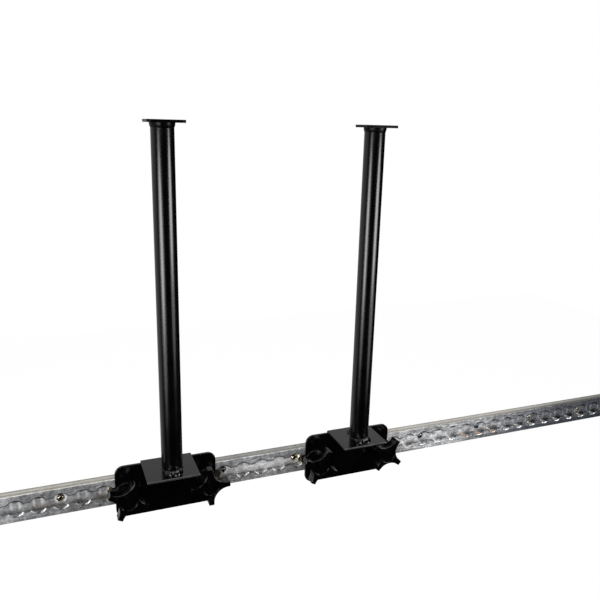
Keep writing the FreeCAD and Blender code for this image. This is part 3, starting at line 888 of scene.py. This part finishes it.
KNOB_ANGLES = {"left_knob_1": -26, "left_knob_2": 2, "right_knob_1": -28, "right_knob_2": -38}
ARM_REACH = 25.4 * MM
ARM_COUNT = 4
HOLLOW_OFFSET = 31.5 * MM
HOLLOW_RADIUS = 18.9 * MM
HUB_LENGTH = 12.7 * MM
ARM_THICKNESS = 12.7 * MM
KNOB_FRONT = HUB_LENGTH + ARM_THICKNESS
HUB_RADIUS = 10.3 * MM
HUB_WAIST = 9.7 * MM
DISH_RADIUS = 10.4 * MM
DISH_DEPTH = 3.0 * MM
DISH_LIP = 0.6 * MM
DISH_COVE = 0.6 * MM
DISH_CROWN = 0.5 * MM
INSERT_APOTHEM = 6.35 * MM
INSERT_ROOM = 15.8 * MM
CORNER_RADIUS = 0.8 * MM
FRONT_ROUNDING = 0.7 * MM
BACK_ROUNDING = 0.8 * MM
HOLLOW_POINTS = 16
CORNER_POINTS = 6
TIP_POINTS = 2
ROUNDING_STEPS = 5


def arm_outline(inset):
    """The knob's four-armed outline as angle and radius pairs, moved inwards by an inset.

    Each hollow is an arc about a point out on a diagonal, each tip an arc about the axis, and a
    small corner arc joins the two.
    """
    tip_centre = ARM_REACH - CORNER_RADIUS
    hollow_reach = HOLLOW_RADIUS + CORNER_RADIUS
    # The corner's centre lies a known distance from the axis and from the hollow's centre
    along = (HOLLOW_OFFSET**2 + tip_centre**2 - hollow_reach**2) / (2 * HOLLOW_OFFSET)
    aside = math.sqrt(tip_centre**2 - along**2)
    half_hollow = math.atan2(aside, HOLLOW_OFFSET - along)
    corner_turn = math.atan2(aside, along)

    hollow_centre = Vector((HOLLOW_OFFSET, 0))
    hollow = []
    for i in range(HOLLOW_POINTS + 1):
        turn = math.pi + half_hollow * (1 - 2 * i / HOLLOW_POINTS)
        spoke = Vector((math.cos(turn), math.sin(turn)))
        hollow.append(hollow_centre + spoke * (HOLLOW_RADIUS + inset))

    # From the hollow's end round the corner to the tip, on the side towards the next arm
    corner_centre = Vector((along, aside))
    radius = CORNER_RADIUS - inset
    first, last = TURN - half_hollow, TURN + corner_turn
    corner = []
    for i in range(1, CORNER_POINTS + 1):
        turn = first + (last - first) * i / CORNER_POINTS
        corner.append(corner_centre + radius * Vector((math.cos(turn), math.sin(turn))))
    mirrored = [Vector((p.x, -p.y)) for p in reversed(corner)]

    # Each quarter ends with the tip's arc
    half_tip = QUARTER / 2 - corner_turn
    points = []
    for quarter in range(ARM_COUNT):
        diagonal = QUARTER / 2 + quarter * QUARTER
        for p in mirrored + hollow + corner:
            points.append((math.atan2(p.y, p.x) + diagonal, p.length))
        for i in range(1, TIP_POINTS):
            turn = corner_turn + 2 * half_tip * i / TIP_POINTS
            points.append((diagonal + turn, ARM_REACH - inset))
    return points


def make_knob_mesh():
    """A moulded four-armed knob on a waisted hub, with a round dish in its front."""
    back = HUB_LENGTH
    front = KNOB_FRONT
    angles = [angle for angle, radius in arm_outline(0.0)]

    def level(inset, height):
        return [(r * math.cos(a), r * math.sin(a), height) for a, r in arm_outline(inset)]

    def circle(radius, height):
        return [(radius * math.cos(a), radius * math.sin(a), height) for a in angles]

    def hexagon(height):
        points = []
        for a in angles:
            radius = INSERT_APOTHEM / math.cos(a % (TURN / 6) - TURN / 12)
            points.append((radius * math.cos(a), radius * math.sin(a), height))
        # The points nearest to the six corners stand on them
        for x, y, z in ring(INSERT_APOTHEM / math.cos(TURN / 12), height, 6):
            gaps = [abs(math.remainder(a - math.atan2(y, x), TURN)) for a in angles]
            points[gaps.index(min(gaps))] = (x, y, z)
        return points

    def halfway(first, second):
        return [Vector(p).lerp(Vector(q), 0.5) for p, q in zip(first, second)]

    turns = [QUARTER * i / ROUNDING_STEPS for i in range(ROUNDING_STEPS + 1)]
    hub = (
        (HUB_WAIST - 0.5 * MM, 0.0),
        (HUB_WAIST, 0.5 * MM),
        (HUB_RADIUS - 0.3 * MM, back - 1.5 * MM),
        (HUB_RADIUS + 0.3 * MM, back - 0.3 * MM),
        (HUB_RADIUS + 1.0 * MM, back),
    )
    loops = [hexagon(INSERT_ROOM), hexagon(0.0)]
    loops += [circle(radius, height) for radius, height in hub]
    loops.append(halfway(loops[-1], level(BACK_ROUNDING, back)))
    for turn in turns:
        inset = BACK_ROUNDING * (1 - math.sin(turn))
        loops.append(level(inset, back + BACK_ROUNDING * (1 - math.cos(turn))))
    for turn in turns:
        inset = FRONT_ROUNDING * (1 - math.cos(turn))
        loops.append(level(inset, front - FRONT_ROUNDING * (1 - math.sin(turn))))
    lip = circle(DISH_RADIUS + DISH_LIP, front)
    loops += [halfway(loops[-1], lip), lip]
    for turn in turns[1:]:
        radius = DISH_RADIUS + DISH_LIP * (1 - math.sin(turn))
        loops.append(circle(radius, front - DISH_LIP * (1 - math.cos(turn))))

    # A cove leads from the dish's wall to its slightly domed floor
    wall = DISH_DEPTH - DISH_COVE
    for turn in turns:
        radius = DISH_RADIUS - DISH_COVE * (1 - math.cos(turn))
        loops.append(circle(radius, front - wall - DISH_COVE * math.sin(turn)))
    for share in (0.75, 0.5, 0.25, 0.05):
        floor = front - DISH_DEPTH + DISH_CROWN * (1 - share**2)
        loops.append(circle((DISH_RADIUS - DISH_COVE) * share, floor))
    work = bmesh.new()
    add_loops(work, loops)
    return mesh_of("clamping_knob", work, math.radians(40))


# Threads and fasteners

THREAD_PITCH = INCH / 16
STUD_RADIUS = 9.525 * MM / 2
STUD_THREAD_DEPTH = 0.85 * MM
THREAD_SIDES = 48
THREAD_ROWS = 10


def threaded_rows(major, depth, pitch, start, end, crest, run_in):
    """Rows of points up a threaded shank, whose radius follows a helix and a run-in at its tip."""
    count = max(2, round((end - start) / pitch * THREAD_ROWS))
    rows = []
    for step in range(count + 1):
        height = start + (end - start) * step / count
        loop = []
        for i in range(THREAD_SIDES):
            angle = TURN * i / THREAD_SIDES
            phase = (height / pitch - i / THREAD_SIDES) % 1.0
            hill = min(1.0, max(0.0, (1 - abs(2 * phase - 1)) / crest))
            radius = (major - depth * (1 - hill)) * run_in(height)
            loop.append((radius * math.cos(angle), radius * math.sin(angle), height))
        rows.append(loop)
    return rows


def add_box(work, low, high):
    corners = [(low.x, low.y), (high.x, low.y), (high.x, high.y), (low.x, high.y)]
    add_loops(work, [[(x, y, z) for x, y in corners] for z in (low.z, high.z)])


def make_stud_mesh():
    """A track stud: two round feet, a bridge between them and a threaded stud, eased all round."""
    low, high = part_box("left_track_stud_1")
    face = TRACK_FACE_Y
    foot_back = high.y - face
    lip = LIP_BACK_Y - face
    foot_radius = (high.z - low.z) / 2
    ease = 0.9 * MM
    half_bridge = 4.9 * MM
    recess = 0.4 * MM
    end = face - low.y
    work = bmesh.new()
    for x in (-HOLE_PITCH / 2, HOLE_PITCH / 2):
        profile = (
            (foot_radius - ease, -foot_back),
            (foot_radius, -foot_back + ease),
            (foot_radius, -lip - ease),
            (foot_radius - ease, -lip),
        )
        loops = [[(px + x, py, pz) for px, py, pz in ring(r, z, 64)] for r, z in profile]
        add_loops(work, loops)
    length = HOLE_PITCH / 2 + half_bridge
    bridge_back = -lip - 0.5 * MM
    corner = Vector((length, half_bridge, -recess))
    add_box(work, Vector((-length, -half_bridge, bridge_back)), corner)
    neck = 3.0 * MM
    chamfer = 1.0 * MM

    def run_in(height):
        return min(1.0, 0.84 + 0.16 * (end - height) / chamfer)

    start = neck + 0.1 * MM
    rows = [ring(STUD_RADIUS, height, THREAD_SIDES) for height in (-recess - 0.3 * MM, neck)]
    rows += threaded_rows(STUD_RADIUS, STUD_THREAD_DEPTH, THREAD_PITCH, start, end, 0.75, run_in)
    add_loops(work, rows)
    return mesh_of("track_stud", work, math.radians(32))


SCREW_PITCH = 1.9 * MM
SCREW_THREAD_DEPTH = 0.85 * MM
SCREW_SHANK_RADIUS = 2.4 * MM
SCREW_LENGTH = 31.75 * MM
SCREW_HEAD_RADIUS = 4.6 * MM
SCREW_HEAD_HEIGHT = 2.3 * MM
SCREW_RECESS = 2.7 * MM
SCREW_POINT = 6.0 * MM
SCREW_TURNS = 0.618
YELLOW_SCREWS = (0, 2, 5, 9, 10)


def make_screw_mesh():
    """A pan-head wall screw without its recess: threaded shank and point, seat at zero height."""
    work = bmesh.new()
    radius = SCREW_SHANK_RADIUS

    def run_in(height):
        from_tip = height + SCREW_LENGTH
        return min(1.0, 0.06 + 0.94 * from_tip / SCREW_POINT)

    rows = [ring(0.06 * radius, -SCREW_LENGTH, THREAD_SIDES)]
    start, end = -SCREW_LENGTH + 0.1 * MM, -2.5 * MM
    rows += threaded_rows(radius, SCREW_THREAD_DEPTH, SCREW_PITCH, start, end, 0.45, run_in)
    for height in (-2.3 * MM, 0.0):
        rows.append(ring(radius - 0.1 * MM, height, THREAD_SIDES))
    # Shares of the head's radius and height: a flange, the groove inside it and a dome
    profile = (
        (0.97, 0.0),
        (1.0, 0.06),
        (1.0, 0.28),
        (0.96, 0.36),
        (0.84, 0.38),
        (0.76, 0.36),
        (0.72, 0.44),
        (0.70, 0.66),
        (0.65, 0.84),
        (0.55, 0.95),
        (0.42, 0.99),
        (0.25, 1.0),
    )
    for across, up in profile:
        rows.append(ring(SCREW_HEAD_RADIUS * across, SCREW_HEAD_HEIGHT * up, THREAD_SIDES))
    add_loops(work, rows)
    return mesh_of("wall_screw", work, math.radians(40))


def cut_cross(mesh):
    """The screw with a cross recess, cut into its head by two wedge-shaped tools."""
    tool = bmesh.new()
    reach, half_width, depth = SCREW_RECESS, 0.75 * MM, 1.9 * MM
    top = SCREW_HEAD_HEIGHT + 1 * MM
    bottom = SCREW_HEAD_HEIGHT - depth
    for turn in (0, QUARTER):
        # A small extra turn keeps the cuts off the head's rows of points
        spin = Matrix.Rotation(turn + TURN / 14, 3, "Z")
        # The second cut is a hair wider, so that no face of one lies in a face of the other
        widen = 1.001 if turn else 1.0
        loops = []
        for height, share in ((bottom, 0.35), (SCREW_HEAD_HEIGHT, 1.0), (top, 1.4)):
            w = half_width * (0.6 + 0.4 * share) * widen
            r = reach * share
            corners = ((-r, -w), (r, -w), (r, w), (-r, w))
            loops.append([spin @ Vector((x, y, height)) for x, y in corners])
        add_loops(tool, loops)
    finished = cut_away(mesh, mesh_of("cross_tool", tool))
    smooth(finished, math.radians(40))
    return finished


def make_screws(blue, yellow):
    """A screw in every fourth hole, each turned its own way and of one of two platings."""
    mesh = cut_cross(make_screw_mesh())
    for i in range((HOLE_COUNT - 1) // SCREW_STEP + 1):
        x = FIRST_HOLE_X + i * SCREW_STEP * HOLE_PITCH
        turned = OUTWARD @ Matrix.Rotation(TURN * (SCREW_TURNS * i % 1.0), 4, "Z")
        place = Matrix.Translation((x, CHANNEL_FLOOR_Y, 0)) @ turned
        name = f"wall_screw_{i + 1:02d}"
        plating = yellow if i in YELLOW_SCREWS else blue
        new_piece(name, mesh.copy(), plating, "rail", ["rail_screws"], place)


def make_washer(side, number, material):
    node = f"{side}_washer_{number}"
    low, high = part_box(node)
    centre = (low + high) / 2
    outer = (high.x - low.x) / 2
    bore = 5.55 * MM
    thick = high.y - low.y
    ease = 0.3 * MM
    profile = (
        (bore, ease),
        (bore + ease, 0),
        (outer - 0.1 * MM, 0),
        (outer, 0.2 * MM),
        (outer, thick - 2 * ease),
        (outer - ease, thick - 0.5 * ease),
        (outer - 2 * ease, thick),
        (bore + ease, thick),
        (bore, thick - ease),
    )
    work = bmesh.new()
    add_loops(work, [ring(r, z, 64) for r, z in profile], closed=True)
    matrix = Matrix.Translation((centre.x, high.y, centre.z)) @ OUTWARD
    mesh = mesh_of(node, work)
    body = f"{side}_washer_{number}_body"
    new_piece(f"{node}_ring", mesh, material, body, [node], matrix)


def make_clamp(side, number, stud_mesh, knob_mesh, zinc, black_zinc, plastic, brass):
    """One stud with its washer and its knob, all about one axis."""
    washer_low, washer_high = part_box(f"{side}_washer_{number}")
    x = (washer_low.x + washer_high.x) / 2
    place = Matrix.Translation((x, TRACK_FACE_Y, 0)) @ OUTWARD
    node = f"{side}_track_stud_{number}"
    new_piece(f"{node}_steel", stud_mesh, zinc, f"{side}_rack", [node], place)
    make_washer(side, number, black_zinc)

    node = f"{side}_knob_{number}"
    turned = knob_mesh.copy()
    turned.transform(Matrix.Rotation(math.radians(KNOB_ANGLES[node]), 4, "Z"))
    place = Matrix.Translation((x, washer_low.y, 0)) @ OUTWARD
    new_piece(f"{node}_moulding", turned, plastic, f"{node}_body", [node], place)
    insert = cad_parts[f"{side}_knob_insert_{number}"]
    insert.data.materials.clear()
    insert.data.materials.append(brass)


def make_rack_unit(side, powder, post_powder, dry_powder):
    """The plates and the post of one unit, with the welds between them."""
    for plate, rounding in PLATE_ROUNDING.items():
        node = f"{side}_{plate}"
        coat = dry_powder if plate == "top_plate" else powder
        finish = coat, "black_powder_coat", f"{side}_rack"
        softened(node, f"{node}_steel", rounding, 4, *finish)
    make_post(side, post_powder)
    shelf_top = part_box(f"{side}_shelf_plate")[1].z
    top_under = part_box(f"{side}_top_plate")[0].z
    make_ring_bead(side, f"{side}_base_weld", shelf_top, True, BASE_BEAD, powder)
    make_ring_bead(side, f"{side}_top_weld", top_under, False, TOP_BEAD, dry_powder)
    make_shelf_bead(side, powder)


# The whole rack

bpy.context.scene.view_settings.view_transform = "Standard"
make_camera()
make_world()
make_floor()
make_lights()

aluminium = worn_aluminium()
wide = on_slot_edge, SLOT_ROUNDING
dishes = make_dish_tool()
finish = aluminium, "worn_aluminium", "rail"
softened("rail", "cargo_track", TRACK_ROUNDING, 2, *finish, wide, dishes)

blue_tones = (0.16, 0.19, 0.25, 1), (0.55, 0.60, 0.68, 1)
yellow_tones = (0.80, 0.66, 0.42, 1), (0.97, 0.89, 0.72, 1)
blue_zinc = plated_metal("screw_blue_zinc", *blue_tones, 0.2, groove_shade=0.6)
yellow_zinc = plated_metal("screw_yellow_zinc", *yellow_tones, 0.2, groove_shade=0.15)
make_screws(blue_zinc, yellow_zinc)

# The coat is glossiest on the plates and dullest round the top plate, where it was sprayed last
coats = (
    black_powder_coat("black_powder_coat", 0.15, 0.5),
    black_powder_coat("black_powder_coat_post", 0.19, 0.5),
    black_powder_coat("black_powder_coat_top", 0.30, 0.12),
)
clamp_finishes = (
    plated_metal("zinc_steel", (0.50, 0.43, 0.28, 1), (0.90, 0.84, 0.68, 1), 0.2),
    plated_metal("black_zinc", (0.01, 0.01, 0.011, 1), (0.04, 0.04, 0.042, 1), 0.3),
    black_knob(),
    plated_metal("insert_brass", (0.45, 0.3, 0.12, 1), (0.78, 0.6, 0.3, 1), 0.25),
)
stud_mesh = make_stud_mesh()
knob_mesh = make_knob_mesh()
for side in SIDES:
    make_rack_unit(side, *coats)
    for number in NUMBERS:
        make_clamp(side, number, stud_mesh, knob_mesh, *clamp_finishes)
